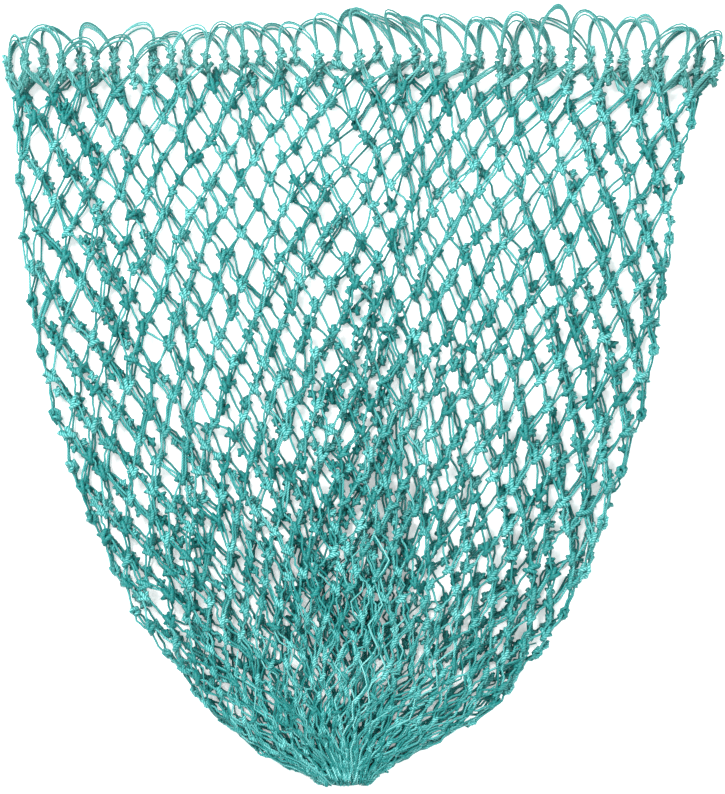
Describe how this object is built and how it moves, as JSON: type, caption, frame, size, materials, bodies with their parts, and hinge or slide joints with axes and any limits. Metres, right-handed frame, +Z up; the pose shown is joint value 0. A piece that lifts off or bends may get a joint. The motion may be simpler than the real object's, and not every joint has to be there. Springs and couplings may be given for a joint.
{
  "type": "landing net bag",
  "caption": "Empty landing-net bag of knotted diamond mesh, lying flat: loops along its wide mouth take a hoop, and it tapers to a gathered tip that holds the catch.",
  "frame": {"origin": "centre of the bag's outline, on the surface that it lies on", "axes": "+Z up, +Y towards the mouth, -Y towards the gathered tip, +X to the right seen from above"},
  "size_m": [0.386, 0.4246, 0.0181],
  "materials": {
    "loop_twine": "glossy twisted nylon twine, several strands to a loop",
    "net_twine": "glossy twisted nylon twine with a knot at each corner of the meshes"
  },
  "bodies": {
    "root": {"loops_front_left": "loop_twine", "loops_front_right": "loop_twine", "loops_back_left": "loop_twine", "loops_back_right": "loop_twine", "net_bag": "net_twine"}
  },
  "joints": []
}
